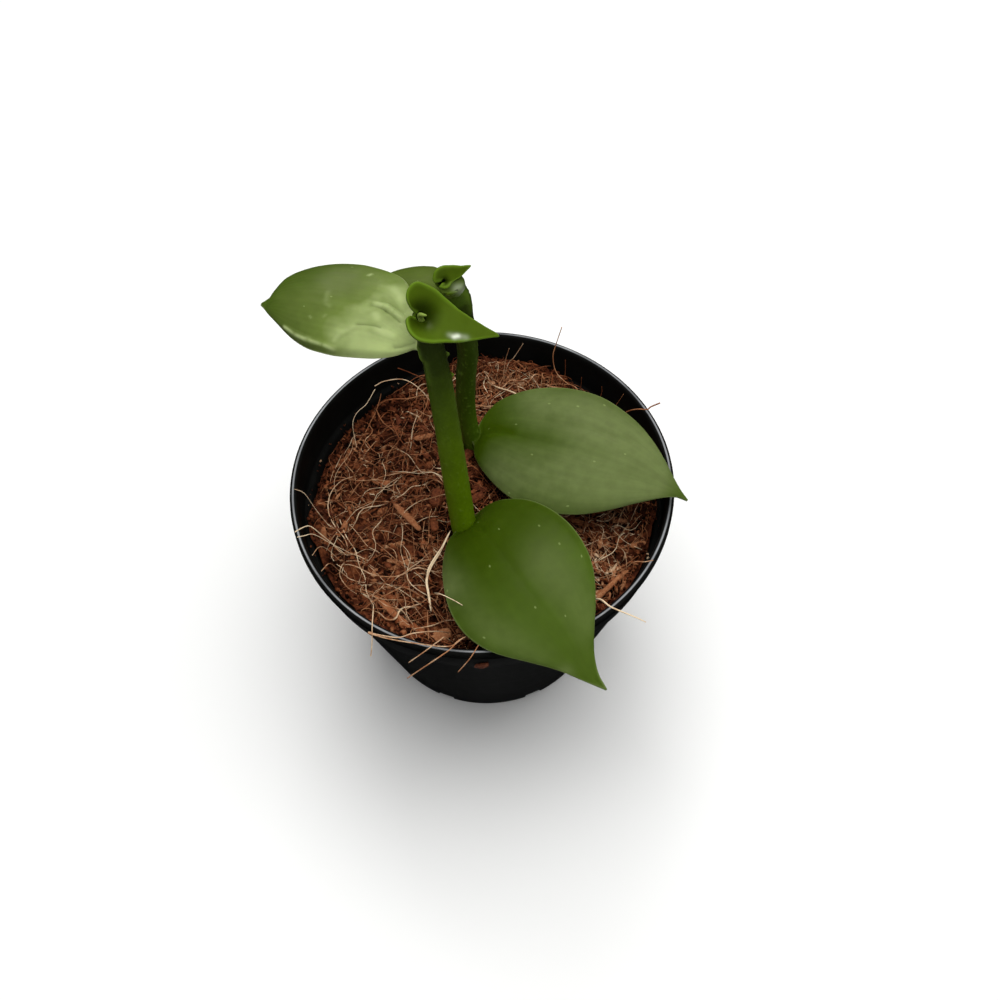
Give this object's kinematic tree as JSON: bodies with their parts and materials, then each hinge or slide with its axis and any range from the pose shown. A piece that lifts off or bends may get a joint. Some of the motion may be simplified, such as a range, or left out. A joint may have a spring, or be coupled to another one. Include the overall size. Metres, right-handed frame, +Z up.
{
  "type": "potted vanilla orchid",
  "caption": "Young vanilla orchid: two thick green stems with fleshy pointed leaves and folded young leaves, rooted in coir and bark in a thin round black nursery pot.",
  "frame": {"origin": "centre of the pot's base, on the surface that the pot stands on", "axes": "+Z up along the pot's axis; -Y is the front, where the taller stem's broad lower leaf hangs over the rim; +X is to the right seen from the front, where the back stem's lower leaf points"},
  "size_m": [0.1227, 0.1323, 0.1655],
  "materials": {
    "pot": "satin moulded black polypropylene",
    "coir_and_bark": "rough, fibrous, matt",
    "stem": "smooth, waxy, satin, with faint warts",
    "lower_leaf": "smooth, waxy, satin",
    "upper_leaf": "smooth, waxy, glossy where it faces the light",
    "young_leaf": "smooth, glossy, with a pale edge",
    "bud": "smooth, satin"
  },
  "bodies": {
    "root": {"pot": "pot", "coir_substrate": "coir_and_bark", "front_stem": "stem", "back_stem": "stem", "lower_front_leaf": "lower_leaf", "lower_back_leaf": "lower_leaf", "upper_front_leaf": "upper_leaf", "upper_back_leaf": "upper_leaf", "young_front_leaf": "young_leaf", "young_back_leaf": "young_leaf", "growing_tip": "bud"}
  },
  "joints": []
}
